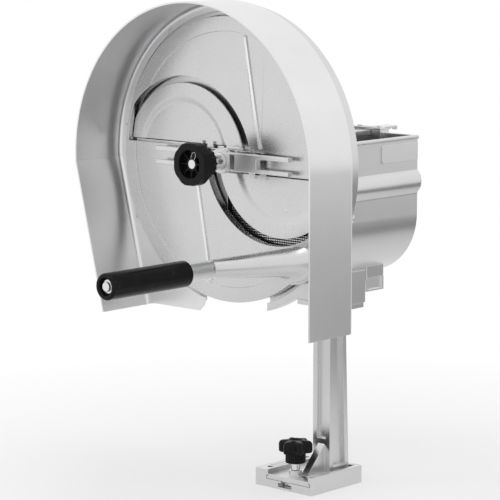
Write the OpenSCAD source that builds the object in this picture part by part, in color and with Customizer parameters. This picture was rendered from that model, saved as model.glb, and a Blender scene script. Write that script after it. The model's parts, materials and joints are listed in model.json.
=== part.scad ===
// Hand cranked rotary food slicer on a clamped column.
// Origin: centre of the base bracket's underside. Z is up.
// The crank side faces -Y, the feed hopper +Y, the column stands toward +X.
// Sizes are millimetres.

/* [Base and clamp] */
// width of the base bracket across X
base_w = 80; // [60:1:120]
// depth of the base bracket along Y
base_d = 84; // [60:1:120]
// height of the base bracket's rails
base_h = 19.5; // [15:0.5:30]
// width of the left rail
rail_left = 18; // [10:1:24]
// width of the right rail
rail_right = 5; // [4:0.5:12]
// height of the channel floor
channel_z = 9; // [7:0.5:12]
// height of the groove that holds the foot's tongues
tongue_h = 3; // [2:0.5:4]
// depth of the groove in each rail
tongue_d = 2.5; // [1.5:0.5:3]
// running clearance of the sliding foot
foot_gap = 0.3; // [0.1:0.1:0.6]
// T slot centre across X
slot_x = 2; // [-5:0.5:8]
// T slot neck width
slot_neck = 11; // [9:0.5:13]
// T slot head width
slot_head = 19; // [16:0.5:22]
// height of the T slot floor
slot_z = 2.5; // [2:0.5:4]
// thickness of the metal over the T slot head
slot_lip = 2.3; // [2:0.1:4]
// radius of the mounting holes through the base
mount_hole_r = 3.25; // [2:0.25:5]
// spacing of the mounting holes along Y
mount_pitch_y = 60; // [40:1:70]
// spacing of the mounting holes along X
mount_pitch_x = 58; // [56:0.5:60]
// radius of the clamp stud
stud_r = 3.5; // [3:0.25:4]
// position of the stud along Y
stud_y = -24; // [-32:1:-16]
// height of the star knob's underside
star_z = 28; // [26:1:40]
// radius over the star knob's lobes
star_r = 18.5; // [14:0.5:24]
// thickness of the star knob's head
star_h = 14; // [8:1:20]

/* [Column] */
// left face of the column
col_x = 4; // [-2:1:10]
// width of the column across X
col_w = 24; // [18:1:32]
// front face of the column
col_y = 2; // [-2:1:6]
// depth of the column at its top
col_d = 25; // [20:1:32]
// extra depth of the column at its foot
col_flare = 7; // [0:1:12]
// thickness of the foot plate
foot_h = 5.5; // [4:0.5:8]
// wall of the column left beside its panels
col_rim = 6; // [4:0.5:8]
// depth of the sunk panels
panel_d = 4; // [2:0.5:6]
// height of the front gusset
gusset_h = 31.5; // [24:0.5:34]
// thickness of the front gusset
gusset_w = 9; // [6:1:14]

/* [Housing] */
// disc axis height
axis_z = 345; // [320:1:370]
// gap between the disc and the recess around it
disc_gap = 5; // [3:0.5:8]
// width of the housing ring outside the recess
ring_wall = 8.5; // [7:0.5:10]
// radius of the housing below the disc, between hood and lower block
ring_low = 150; // [146:0.5:156]
// thickness of the housing floor
floor_t = 6; // [4:0.5:8]
// depth of the recess
recess_d = 5; // [4:0.5:8]
// radius of the bearing boss
boss_r = 26; // [20:1:30]
// rear end of the bearing boss, from the hood's back
boss_l = 42; // [30:1:60]
// gap between the housing ring and the column's top flange
column_clear = 2.3; // [1:0.1:12]
// height of the lower block's top below the axis
block_top = 109; // [100:1:120]
// left end of the lower block from the axis
block_x0 = 51; // [40:1:60]
// overhang of the lower block past the column's top flange
block_out = 2; // [0:0.5:5]
// rear face of the lower block
block_d = 36; // [28:1:44]

/* [Hood] */
// outer face of the hood past the housing ring
hood_gap = 4; // [3:0.5:9]
// distance from the column's top flange to the hood's right leg
leg_gap = 14; // [10:0.5:20]
// depth of the hood from its back to its front edge
hood_d = 72; // [60:1:90]
// sheet thickness of the hood
sheet = 2; // [1:0.5:3]
// radius of the bend between the back and the sides
bend_r = 6.5; // [4:0.5:7]
// facets of that bend
bend_steps = 6; // [2:1:10]
// length of the right leg below the axis
leg_l = 173; // [150:1:190]
// height of the left crease below the axis
crease_z = 8.5; // [4:0.5:20]
// length of the left plate, measured downward
left_l = 168.5; // [150:1:175]
// lean of the left plate in degrees
left_lean = 14; // [6:0.5:20]
// right edge of the back plate's lower lobe from the axis
lobe_x = -42; // [-60:1:-30]

/* [Hopper] */
// inner right wall of the hopper inside the disc's edge
trough_side = 11.5; // [9:0.5:20]
// inner left wall from the axis
trough_x0 = -12; // [-20:1:0]
// inner right corner radius
trough_r1 = 65; // [50:1:70]
// inner left corner radius
trough_r0 = 50; // [40:1:60]
// inner bottom of the hopper inside the disc's edge
trough_under = 32.5; // [27:0.5:42]
// top rim above the axis
trough_top = 27; // [20:1:34]
// left wall beside the bearing boss, from the axis
notch_x = 33; // [30:1:40]
// underside of the notch below the axis
notch_z = 38; // [34:1:44]
// wall thickness of the hopper
wall = 4; // [3:0.5:6]
// rear end of the hopper behind the hood
hopper_l = 138; // [110:1:170]
// height of the side moulding
bead_h = 26; // [20:1:34]
// projection of the side moulding
bead_p = 6; // [3:0.5:8]
// height of the side moulding's upper slant
bead_slope = 5.5; // [3:0.5:8]
// height of the side moulding's lower slant
bead_foot = 7; // [3:0.5:9]
// centre of the side moulding below the axis
bead_z = 24; // [18:1:30]

/* [Disc] */
// radius of the cutter disc
disc_r = 157.5; // [150:0.5:160]
// thickness of the cutter disc
disc_t = 12; // [10:1:16]
// width of the raised rim
rim_w = 16.5; // [12:0.5:22]
// height of the raised rim
rim_h = 1.6; // [0.8:0.2:3]
// radius of the pocket arcs
pocket_r = 102; // [95:0.5:108]
// pocket arc centre across the disc
pocket_x = 66.5; // [60:0.5:80]
// pocket arc centre past the axis
pocket_z = 13; // [10:1:22]
// straight pocket edge from the axis
pocket_edge = 11.7; // [10:0.1:14]
// metal left between the pockets and the disc's edge
pocket_wall = 4; // [2.5:0.5:8]
// width of the ridge lines
ridge_w = 2.4; // [1.5:0.1:4]
// radius of the disc hub
hub_r = 16; // [12:1:20]
// reach of the crank horn's foot across the disc
horn_x = 92; // [80:1:96]
// crank horn's foot inside the disc's edge
horn_in = 18.6; // [14:0.1:24]
// length of the crank horn's root sunk into the disc
horn_back = 25; // [20:1:30]
// radius of the crank horn at its foot
horn_r0 = 15; // [12:0.5:16]
// radius of the crank horn at its tip
horn_r1 = 10; // [9:0.5:12]

/* [Knives and gauge plates] */
// overhang of a knife past the pocket edge
knife_over = 2.3; // [1:0.1:3]
// width of a knife
knife_w = 16.5; // [14:0.5:17]
// thickness of a knife
knife_t = 1.5; // [1:0.1:2]
// straight edge of a gauge plate from the axis
gauge_edge = 14.5; // [14.3:0.1:20]
// gap between a gauge plate and its pocket
gauge_gap = 12; // [8:0.5:16]
// shift of a gauge plate's arc from its pocket's arc, away from the axis
gauge_shift = 4; // [0:0.5:6]
// rise of a gauge plate's arc above its pocket's arc
gauge_rise = 4; // [0:0.5:6]
// gap between a gauge plate's outer end and its pocket
gauge_end = 1; // [0.6:0.1:3]
// thickness of a gauge plate
gauge_t = 2; // [1.5:0.5:3]
// depth of a gauge plate's sunk centre
gauge_dish = 2.5; // [1:0.5:3]
// outer radius of the bevel
bevel_r1 = 70; // [68:1:80]
// inner radius of the bevel
bevel_r0 = 60; // [52:1:66]
// bevel centre across the disc
bevel_x = 74; // [66:0.5:78]
// bevel centre past the axis
bevel_z = 3; // [0:0.5:10]
// gauge plate recess behind the disc face
gauge_sink = 6.5; // [5.5:0.5:7]
// travel of the gauge plates toward the knives
gauge_back = 2; // [1:0.5:2]

/* [Adjusting arm and knob] */
// reach of the arm from the axis
arm_l = 99; // [90:1:104]
// start of the fork from the axis
fork_x = 53; // [44:1:60]
// height of the arm
arm_h = 20; // [16:1:22]
// thickness of the arm
arm_t = 7; // [5:0.5:9]
// rear face of the arm in front of the hood's back plane
arm_w = 10; // [9.5:0.5:12]
// thickness of a fork prong
prong = 4.5; // [3:0.5:6]
// outer radius of the hub sleeve
sleeve_r = 9.2; // [8:0.2:11]
// thread radius of the adjusting stud
thread_r = 5; // [4:0.5:6]
// front face of the adjusting knob
knob_front = 66; // [60:1:68]
// length of the adjusting knob
knob_l = 27; // [22:1:32]
// half width over the adjusting knob's flats
knob_r = 23; // [18:0.5:26]
// radius of the adjusting knob's rear body
knob_body_r = 16; // [12:0.5:18]

/* [Crank handle] */
// handle axis across the disc
handle_x = 20; // [10:1:30]
// handle axis below the disc axis
handle_z = 113.5; // [105:0.5:120]
// front end of the crank horn
horn_end = 60; // [50:1:66]
// length of the ferrule
ferrule_l = 34; // [28:1:40]
// radius of the ferrule
ferrule_r = 10; // [8:0.5:12]
// length of the grip
grip_l = 119; // [100:1:130]
// radius of the grip
grip_r = 14.35; // [12:0.05:17]
// radius of the handle spindle
spindle_r = 5; // [4:0.5:6]

/* [Pusher] */
// clearance of the pusher plate in the hopper
push_gap = 1.5; // [0.8:0.1:3]
// thickness of the pusher plate
push_t = 4; // [3:0.5:6]
// bar centre across X from the axis
bar_x = 85; // [70:1:100]
// width of the pusher bar
bar_w = 12; // [8:1:16]
// thickness of the pusher bar
bar_h = 6; // [4:0.5:8]

/* [Details] */
// stop at the rear end of the foot channel
stop_t = 8; // [5:1:12]
// counterbore radius of the mounting holes in the channel
mount_head_r = 5.5; // [5:0.25:7]
// counterbore floor of the mounting holes in the channel
mount_head_z = 4; // [3:0.5:6]
// left end of the column's top flange
flange_x0 = -20; // [-30:1:-16]
// right end of the column's top flange
flange_x1 = 46; // [40:1:48]
// thickness of the column's top flange
flange_t = 5.5; // [4:0.5:8]
// screw inset in the column's top flange
flange_in = 9; // [7:1:12]
// screw line of the column's top flange
flange_y = 19.5; // [14:0.5:24]
// front end of the gusset's foot
gusset_y = -27; // [-30:1:-20]
// radius of the stud boss on the foot
boss_pad_r = 7; // [6:0.5:11]
// height of the stud boss on the foot
boss_pad_h = 5; // [3:0.5:8]
// width of the clamp nut's head
nut_w = 17; // [14:0.5:18]
// width of the clamp nut's neck
nut_neck = 10.4; // [9:0.1:10.6]
// radius of the stud's collar
collar_r = 5; // [4.5:0.5:7]
// radius of the star knob's neck
star_neck_r = 11; // [9:0.5:13]
// height of the star knob's neck
star_neck_h = 11; // [5:1:13]
// radius of one lobe of the star knob
lobe_r = 5; // [4:0.25:6]
// lobes of the star knob
lobes = 6; // [5:1:8]
// radius of the star knob's dished top
star_dish_r = 7.5; // [5:0.5:9]
// depth of the star knob's dished top
star_dish_h = 2; // [1:0.5:4]
// thickness of the housing ribs
rib_t = 5; // [4:0.5:7]
// rear edge of the housing ribs
rib_d = 20; // [17:1:36]
// wall of the lower block
block_wall = 7; // [5:0.5:9]
// depth of the hollow in the lower block
block_hollow = 24; // [16:1:28]
// outer radius of the shaft bushes
bush_r = 13; // [12.5:0.5:15]
// length of the shaft bushes
bush_l = 14; // [10:1:18]
// radius of the main shaft
shaft_r = 10; // [8:0.5:12]
// radius of the shaft's flange
shaft_flange_r = 18; // [16:0.5:20]
// thickness of the shaft's flange
shaft_flange_t = 3; // [2.5:0.5:4]
// radius of the spigot in the disc
spigot_r = 8; // [7:0.5:9]
// radius of the shaft's rear thread
shaft_end_r = 6; // [5:0.5:7]
// length of the shaft's rear thread
shaft_end_l = 14; // [12:1:18]
// thickness of the shaft washer
washer_t = 2.5; // [1.5:0.5:4]
// radius of the shaft washer
washer_r = 16; // [14:0.5:18]
// corner radius of the shaft nut
nut_r = 10.5; // [9:0.5:12]
// thickness of the shaft nut
nut_t = 8; // [6:0.5:9]
// screw circle of the shaft's flange
flange_pcd_r = 13; // [12.5:0.1:14]
// inset of the hood's screws from the housing ring's edge
hood_screw_in = 5; // [4:0.5:5]
// step from the recess to the hood's back flange
hood_step = 1; // [0.5:0.5:2]
// lower edge of the hood's back plate below the axis
lobe_low = 174; // [160:1:176]
// width of the flange along the right leg
leg_flange = 13; // [8:1:16]
// height of the hopper's rolled rim
lip_h = 4; // [2:0.5:6]
// projection of the hopper's rolled rim
lip_p = 1.5; // [1:0.5:3]
// thickness of the hopper's screw ears
ear_t = 4; // [3:0.5:6]
// radius of the hopper's screw ears
ear_r = 6.5; // [5:0.5:7]
// top of the guide lugs for the pusher bar
lug_top = 30; // [28:0.5:34]
// lower end of the guide lugs
lug_low = 5; // [0:1:12]
// width over the guide lugs
lug_w = 38; // [30:1:46]
// depth of the guide lugs
lug_d = 10; // [8:1:14]
// thickness of the bar keeper
keeper_t = 2.5; // [2:0.5:4]
// front end of the name plate behind the hood's back
plate_w1 = 77; // [60:1:90]
// length of the name plate
plate_l = 62; // [40:1:64]
// height of the name plate
plate_h = 24; // [16:1:26]
// thickness of the name plate
plate_t = 1.5; // [1:0.25:2.5]
// corner radius of the name plate
plate_r = 3; // [1:0.5:5]
// left face of the latch bracket from the hopper's right wall
latch_in = 54; // [50:1:60]
// width of the latch bracket
latch_w = 28; // [20:1:32]
// height of the latch bracket
latch_h = 15.5; // [12:0.5:26]
// rear end of the latch bracket
latch_rear = 120; // [110:1:130]
// length of the latch bracket
latch_l = 30; // [24:1:36]
// metal thickness of the latch bracket
latch_t = 2.5; // [2:0.5:4]
// inset of the latch bracket's panel
latch_inset = 2; // [1:0.5:4]
// depth of the latch pad under the hopper
latch_drop = 0.5; // [0.2:0.1:3]
// width of a slot for a gauge plate's ear
ear_slot = 12; // [10.5:0.5:13]
// width of a gauge plate's ear
ear_w = 9; // [8:0.5:10]
// inner ear position from the axis
ear_x0 = 31; // [29:1:32]
// outer ear position from the axis
ear_x1 = 47; // [46:1:48]
// ear screw line from the axis
ear_z = 6; // [6:0.1:6.3]
// end of the ears past the axis
ear_end = 9.8; // [9.6:0.1:10]
// height of the step that carries an ear
ear_step = 4; // [3:0.5:6]
// clearance between an ear and the knife behind it
ear_clear = 0.3; // [0.2:0.1:0.6]
// radius of the arm's posts
post_r = 3.5; // [3:0.25:4]
// radius of the arm's hub
arm_hub_r = 14; // [12:0.5:16]
// outer end of the arm's window
window_x = 21; // [18:0.5:26]
// half height of the arm's window
window_h = 8; // [5:0.5:9]
// collar radius of the hub sleeve
sleeve_collar_r = 11.5; // [10.5:0.25:12]
// collar thickness of the hub sleeve
sleeve_collar_t = 2.7; // [2:0.1:3]
// outer radius of the knob retainer
retainer_r = 14; // [13:0.5:16]
// thickness of the knob retainer
retainer_t = 2; // [1.5:0.5:3]
// thickness of the knob's head
knob_head_t = 13; // [9:0.5:16]
// radius of the knob's cup
cup_r = 15.5; // [12:0.5:17]
// depth of the knob's cup
cup_d = 8; // [5:0.5:10]
// height of the ribs in the knob's cup
cup_rib_h = 4; // [2:0.5:6]
// thickness of the ribs in the knob's cup
cup_rib_t = 1.6; // [1:0.2:3]
// radius of the core in the knob's cup
cup_core_r = 7.5; // [6.5:0.5:9]
// ribs in the knob's cup
cup_ribs = 8; // [6:1:12]
// upper end of a ridge line across the disc
ridge_x = 26; // [20:1:34]
// end of a ridge line inside the rim
ridge_in = 2.5; // [1:0.5:6]
// lean of a ridge line in degrees
ridge_lean = 79.7; // [74:0.1:86]
// lower end of a ridge line past the axis
ridge_low = 14; // [12:1:30]
// knife screws' distance from the knife's back
knife_in = 6; // [5:0.5:8]
// knife screws' distance from the knife's inner end
knife_screw_in = 5; // [4:0.5:8]
// middle knife screw past the outer ear
knife_screw_step = 15; // [12:1:40]
// knife screws' distance from the knife's outer end
knife_screw_out = 25; // [8:1:40]
// outer end of the knives inside the disc's edge
knife_end = 7.5; // [6:0.5:12]
// inner end of the knives
knife_x0 = 14; // [12:0.5:20]
// radius of the grip's end recess
grip_cup_r = 9.5; // [8:0.5:11]
// depth of the grip's end recess
grip_cup_d = 6; // [4:0.5:9]
// edge chamfer of the grip
grip_edge = 1.5; // [0.5:0.25:3]
// head radius of the grip screw
grip_screw_r = 5; // [4:0.5:6]
// washer radius of the grip screw
grip_washer_r = 7.5; // [6.5:0.5:8.5]
// washer thickness of the grip screw
grip_washer_t = 1.5; // [1:0.25:2.5]
// spindle length inside the crank horn
spindle_in = 16; // [10:1:20]
// length of the crank horn's knuckle
knuckle_l = 10; // [6:1:14]
// pusher handle block length
push_block_l = 16; // [12:1:28]
// pusher handle block width
push_block_w = 14; // [12:1:32]
// pusher handle block height
push_block_h = 10; // [8:1:20]
// pusher finger plate length
finger_l = 30; // [24:1:44]
// pusher finger plate width
finger_w = 16; // [14:1:44]
// pusher finger plate thickness
finger_t = 2; // [1.5:0.5:3]
// pusher finger lip drop
finger_drop = 5; // [4:1:14]
// gap behind the hopper before the pusher block
push_block_gap = 5; // [4:1:10]
// play around the pusher bar
bar_play = 0.3; // [0.1:0.1:0.6]

// angle of the hood's arc past its half circle
crease_a = 2.8; // [1:0.1:5]
// corner of the hood's back plate
lobe_corner = 7; // [4:1:12]
// front end of the side moulding behind the housing
bead_in = 6; // [4:1:12]
// length of the keeper screws in the lugs
keeper_screw_l = 10; // [6:1:14]
// length of the latch screws in the hopper
latch_screw_l = 6; // [4:0.5:8]
// screws in the shaft's flange
flange_screws = 4; // [3:1:6]
// length of the flange screws in the disc
flange_screw_l = 7; // [5:0.5:8]
// play past the end of a gauge plate's ear
ear_play = 0.5; // [0.3:0.1:2]
// grinding angle of the knives
grind_a = 18; // [12:1:30]
// length of the ear screws in the posts
post_screw_l = 7; // [5:0.5:9]
// grip ribs around the knob's rear body
grooves = 16; // [10:1:24]
// radius of a grip rib on the knob
groove_r = 1.2; // [0.8:0.1:2]
// sides of the knob's head
octagon = 8; // [6:1:10]
// rounding of the knob's corners past its flats
knob_round = 0.7; // [0.3:0.1:2]
// length of the grip screw in the spindle
grip_screw_l = 14; // [8:1:20]
// length of the pusher's screws in the bar
push_screw_l = 12; // [8:1:16]

/* [Shared] */
// running clearance of bores on their pins
run = 0.05; // [0.02:0.01:0.1]
// radius of the larger screws
m5_r = 2.5; // [2:0.1:3]
// radius of the smaller screws
m3_r = 1.5; // [1:0.1:2]
// head height of the screws
head_h = 3; // [2:0.2:4]
// share of a screw's radius that gives its head
head_share = 1.8; // [1.5:0.1:2.2]
// head height of the smaller screws
m3_head = 1.5; // [1:0.1:2.5]
// end play of turning pieces
thrust = 0.4; // [0.2:0.1:0.8]
// clearance of fixed castings around each other
hopper_fit = 0.3; // [0.2:0.1:0.5]

/* [Hidden] */
$fn = 96;
half = 0.5;
third_share = 0.3;
bead_share = 0.75;
bead_low_share = 0.8;
quarter_share = 0.25;
flange_share = 0.5;
right = 90;
snug = 0.02;
turn = 360;
eps = 0.01;
big = 400;
back_w = -3;
recess_r = disc_r + disc_gap;
ring_r = recess_r + ring_wall;
hood_r = ring_r + hood_gap;
hood_screw_ring = ring_r - hood_screw_in;
hood_hole_r = recess_r + hood_step;
axis_x = flange_x1 + leg_gap - hood_r;
rim_r = disc_r - rim_w;
pocket_lim = disc_r - pocket_wall;
knife_x1 = disc_r - knife_end;
ridge_z = sqrt((rim_r - ridge_in) * (rim_r - ridge_in) - ridge_x * ridge_x);
ridge_l = ridge_z - ridge_low;
horn_z = sqrt((disc_r - horn_in) * (disc_r - horn_in) - horn_x * horn_x);
trough_x1 = disc_r - trough_side;
trough_low = disc_r - trough_under;
flange_reach = flange_x0 - axis_x;
block_low = sqrt(ring_r * ring_r - flange_reach * flange_reach) + column_clear;
block_x1 = flange_x1 - axis_x + block_out;
latch_x0 = trough_x1 - latch_in;
latch_pad = trough_low + wall + latch_drop;
hood_front = back_w + hood_d;
disc_w0 = -disc_t / 2;
disc_w1 = disc_t / 2;
floor_w1 = back_w - recess_d;
floor_w0 = floor_w1 - floor_t;
hopper_w0 = back_w - hopper_l;
block_w0 = -block_d;
pusher_w1 = floor_w1 - knife_t;
column_top = axis_z - block_low;
foot_z = channel_z + foot_gap;
foot_y1 = base_d * half - stop_t;
foot_x0 = -base_w / 2 + rail_left + foot_gap;
foot_x1 = base_w / 2 - rail_right - foot_gap;
gauge_w1 = disc_w1 - gauge_sink;
sleeve_w0 = arm_w + arm_t;
knob_w0 = knob_front - knob_l;
grip_w0 = horn_end + ferrule_l;
grip_w1 = grip_w0 + grip_l;
grip_head_w = grip_w1 - grip_cup_d + thrust;
column_screw_x = [flange_x0 + flange_in, flange_x1 - flange_in];
hood_screw_angles = [15, 55, 90, 125, 170, 208];
rib_angles = [70, 107, 148, 190, 225];
hopper_screw_at = [[trough_x1 + wall + ear_r, 12], [trough_x1 + wall + ear_r, -52],
  [trough_x0 - wall - ear_r, -68], [24, -trough_low - wall - ear_r]];
knife_screw_x = [knife_x0 + knife_screw_in, ear_x1 + knife_screw_step, knife_x1 - knife_screw_out];
ear_xs = [ear_x0, ear_x1];
ear_w0 = disc_w0 + knife_t + gauge_back + ear_clear;
ear_w1 = ear_w0 + gauge_t;
bar_z0 = lug_top - bar_h - bar_play;
bar_z1 = lug_top - bar_play;
keeper_screw_x = [bar_x - lug_w * half + lug_d * half, bar_x + lug_w * half - lug_d * half];
latch_screw_w = [-latch_rear + latch_l * third_share, -latch_rear + latch_l - latch_l * third_share];
push_block_w1 = hopper_w0 - push_block_gap;
brass = [0.75, 0.62, 0.35];

steel = [0.75, 0.76, 0.78];
cast = [0.82, 0.82, 0.83];
black = [0.10, 0.10, 0.11];
dark = [0.35, 0.36, 0.38];

// Axis frame: x across, y up, z toward the crank side, zero on the disc axis.
module at_axis() {
  translate([axis_x, 0, axis_z])
    rotate([90, 0, 0])
      children();
}

// Box given by its limits.
module slab(x0, x1, y0, y1, z0, z1) {
  translate([x0, y0, z0])
    cube([x1 - x0, y1 - y0, z1 - z0]);
}

// Rod along z given by its centre and limits.
module rod(x, y, r, z0, z1) {
  translate([x, y, z0])
    cylinder(r = r, h = z1 - z0);
}

// Same thing again, turned half a turn about the axis.
module both_sides() {
  children();
  rotate([0, 0, 180])
    children();
}

// base and clamp
module base_bracket() {
  color(cast)
  difference() {
    translate([-base_w * half, -base_d * half, 0])
      cube([base_w, base_d, base_h]);
    slab(-base_w * half + rail_left, base_w * half - rail_right, -big, foot_y1 + foot_gap,
      channel_z, big);
    slab(-base_w * half + rail_left - tongue_d, base_w * half - rail_right + tongue_d,
      -big, foot_y1 + foot_gap, channel_z, foot_z + tongue_h + foot_gap);
    slab(slot_x - slot_neck * half, slot_x + slot_neck * half, -big, foot_y1,
      slot_z, channel_z + eps);
    slab(slot_x - slot_head * half, slot_x + slot_head * half, -big, foot_y1,
      slot_z, channel_z - slot_lip);
    for (x = [-mount_pitch_x * half, mount_pitch_x * half])
      for (y = [-mount_pitch_y * half, mount_pitch_y * half])
        rod(x, y, mount_hole_r, -eps, big);
    for (y = [-mount_pitch_y * half, mount_pitch_y * half])
      rod(mount_pitch_x * half, y, mount_head_r, mount_head_z, big);
  }
}

module foot_shape() {
  slab(foot_x0, foot_x1, -base_d * half, foot_y1, foot_z, foot_z + foot_h);
  slab(foot_x0 - tongue_d + foot_gap, foot_x1 + tongue_d - foot_gap,
    -base_d * half, foot_y1, foot_z, foot_z + tongue_h);
}

// Side outline of the column, drawn in the YZ plane and pushed across X.
module column_side(x0, x1, inset, y_front) {
  translate([x0, 0, 0])
    rotate([90, 0, 90])
      linear_extrude(height = x1 - x0)
        polygon([[y_front, foot_z], [y_front, column_top],
          [col_y + col_d - inset, column_top], [col_y + col_d + col_flare - inset, foot_z]]);
}

module column() {
  color(cast)
  difference() {
    union() {
      foot_shape();
      column_side(col_x, col_x + col_w, 0, col_y);
      slab(flange_x0, flange_x1, -back_w, block_d, column_top - flange_t, column_top);
      translate([col_x + (col_w - gusset_w) * half, 0, 0])
        rotate([90, 0, 90])
          linear_extrude(height = gusset_w)
            polygon([[col_y + eps, foot_z + foot_h + gusset_h], [col_y + eps, foot_z],
              [gusset_y, foot_z], [gusset_y, foot_z + foot_h]]);
      rod(slot_x, stud_y, boss_pad_r, foot_z, foot_z + foot_h + boss_pad_h);
    }
    // sunk front panel
    slab(col_x + col_rim, col_x + col_w - col_rim, col_y - eps, col_y + panel_d,
      foot_z + foot_h + gusset_h + col_rim, column_top - flange_t - col_rim);
    // sunk panels on both sides
    for (x = [col_x - eps, col_x + col_w - panel_d])
      intersection() {
        column_side(x, x + panel_d + eps, col_rim, col_y + col_rim);
        slab(x, x + panel_d + eps, -big, big,
          foot_z + foot_h + col_rim, column_top - flange_t - col_rim);
      }
    rod(slot_x, stud_y, stud_r + run, 0, big);
    for (x = [flange_x0 + flange_in, flange_x1 - flange_in])
      rod(x, flange_y, m5_r + run, column_top - flange_t - eps, column_top + eps);
  }
}

module t_nut() {
  color(steel)
  difference() {
    union() {
      slab(slot_x - nut_w * half, slot_x + nut_w * half, stud_y - nut_w * half,
        stud_y + nut_w * half, slot_z + foot_gap, channel_z - slot_lip - foot_gap);
      slab(slot_x - nut_neck * half, slot_x + nut_neck * half, stud_y - nut_w * half,
        stud_y + nut_w * half, slot_z + foot_gap, channel_z - foot_gap);
    }
    rod(slot_x, stud_y, stud_r + run, 0, big);
  }
}

module clamp_stud() {
  color(steel)
  union() {
    rod(slot_x, stud_y, stud_r, slot_z + foot_gap, star_z + star_h - head_h);
    rod(slot_x, stud_y, collar_r, foot_z + foot_h + boss_pad_h + thrust, star_z);
  }
}

module clamp_knob() {
  color(black)
  difference() {
    union() {
      rod(slot_x, stud_y, star_neck_r, star_z, star_z + star_neck_h);
      rod(slot_x, stud_y, star_r - lobe_r, star_z + star_neck_h - eps,
        star_z + star_neck_h + star_h);
      for (i = [0:lobes - 1])
        translate([slot_x, stud_y, 0])
          rotate([0, 0, (i + half) * turn / lobes])
            rod(star_r - lobe_r, 0, lobe_r, star_z + star_neck_h, star_z + star_neck_h + star_h);
    }
    rod(slot_x, stud_y, stud_r, star_z - eps, star_z + star_h - head_h);
    rod(slot_x, stud_y, star_dish_r, star_z + star_neck_h + star_h - star_dish_h, big);
  }
}

// Rectangle of a flat outline, given by its limits.
module patch(x0, x1, y0, y1) {
  translate([x0, y0])
    square([x1 - x0, y1 - y0]);
}

// hopper outline, used by the hopper, the window and the pusher
module trough_outline(grow, top) {
  difference() {
    patch(trough_x0 - grow, trough_x1 + grow, -trough_low - grow, top);
    patch(-big, notch_x - grow, -notch_z + grow, big);
    corner_waste(trough_x0 + trough_r0, -big, trough_r0, grow);
    corner_waste(trough_x1 - trough_r1, big, trough_r1, grow);
  }
}

// What a rounded lower corner takes off the outline.
module corner_waste(x, far, r, grow) {
  translate([x, -trough_low + r])
    difference() {
      patch(min(0, far), max(0, far), -big, 0);
      circle(r = r + grow);
    }
}

module trough(grow, top, z0, z1) {
  translate([0, 0, z0])
    linear_extrude(height = z1 - z0)
      trough_outline(grow, top);
}

module ring(r1, r0, z0, z1) {
  difference() {
    rod(0, 0, r1, z0, z1);
    rod(0, 0, r0, z0 - eps, z1 + eps);
  }
}

module housing() {
  color(cast)
  at_axis()
  difference() {
    union() {
      rod(0, 0, ring_r, floor_w0, back_w);
      rod(0, 0, boss_r, -boss_l, floor_w0 + eps);
      for (a = rib_angles)
        rotate([0, 0, a])
          slab(boss_r - rib_t, ring_r - rib_t, -rib_t * half, rib_t * half, -rib_d, floor_w0 + eps);
      slab(block_x0, block_x1, -block_low, -block_top, -block_d, back_w);
    }
    rod(0, 0, recess_r, floor_w1, back_w + eps);
    // the ring ends where the disc hangs free at the bottom
    difference() {
      slab(lobe_x - lobe_corner, block_x0, -big, 0, floor_w0 - eps, back_w + eps);
      rod(0, 0, ring_low, -big, big);
    }
    trough(0, lug_top + push_gap, floor_w0 - eps, floor_w1 + eps);
    trough(wall + hopper_fit, lug_top + wall, -big, floor_w0);
    // bearing bore, bush seats and flange recess
    rod(0, 0, bush_r, -boss_l - eps, floor_w1 + eps);
    rod(0, 0, shaft_flange_r + hopper_fit, disc_w0 - shaft_flange_t - thrust, floor_w1 + eps);
    // hollow in the lower block, open at the back
    slab(block_x0 + block_wall, block_x1 - block_wall, -block_low + flange_t + snug,
      -block_top - block_wall, -block_d - eps, -block_d + block_hollow);
    for (x = column_screw_x)
      translate([x - axis_x, -block_low, -flange_y])
        rotate([-90, 0, 0])
          rod(0, 0, m5_r + snug, -eps, flange_t + eps);
    for (a = hood_screw_angles)
      rotate([0, 0, a])
        rod(hood_screw_ring, 0, m3_r + snug, -big, big);
    for (p = hopper_screw_at)
      rod(p[0], p[1], m3_r + snug, -big, floor_w1 + eps);
  }
}

module hood_profile(flange) {
  polygon(concat([[0, hood_front], [-sheet, hood_front]],
    [for (i = [0:bend_steps]) bend_point(bend_r - sheet, i)],
    [[-flange, back_w + sheet], [-flange, back_w]],
    [for (i = [bend_steps:-1:0]) bend_point(bend_r, i)]));
}

// Point of the hood's bend at a radius, from its side toward its back.
function bend_point(r, i) = [r * cos(i * right / bend_steps) - bend_r,
  back_w + bend_r - r * sin(i * right / bend_steps)];

// Straight wall of the hood, hanging down from a point.
module hood_wall(length, flange) {
  rotate([90, 0, 0])
    linear_extrude(height = length)
      hood_profile(flange);
}

module hood() {
  color(steel)
  at_axis()
  difference() {
    union() {
      rotate_extrude(angle = turn * half + crease_a)
        translate([hood_r, 0])
          hood_profile(hood_r - hood_hole_r + sheet);
      translate([hood_r, eps, 0])
        hood_wall(leg_l, leg_flange);
      translate([-hood_r, -crease_z + eps, 0])
        rotate([0, 0, left_lean])
          mirror([1, 0, 0])
            hood_wall(left_l / cos(left_lean), leg_flange);
      hood_lobe();
    }
    rod(0, 0, hood_hole_r, back_w - eps, back_w + sheet + eps);
    for (a = hood_screw_angles)
      rotate([0, 0, a])
        rod(hood_screw_ring, 0, m3_r + snug, back_w - eps, back_w + sheet + eps);
  }
}

// Lower part of the hood's back, between the left plate and the disc.
module hood_lobe() {
  translate([0, 0, back_w])
    linear_extrude(height = sheet)
      polygon([[-hood_r + bend_r, -crease_z], [0, -crease_z], [lobe_x, -lobe_low + lobe_corner],
        [lobe_x - lobe_corner, -lobe_low],
        [-hood_r + bend_r + (lobe_low - crease_z) * tan(left_lean), -lobe_low]]);
}

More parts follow.
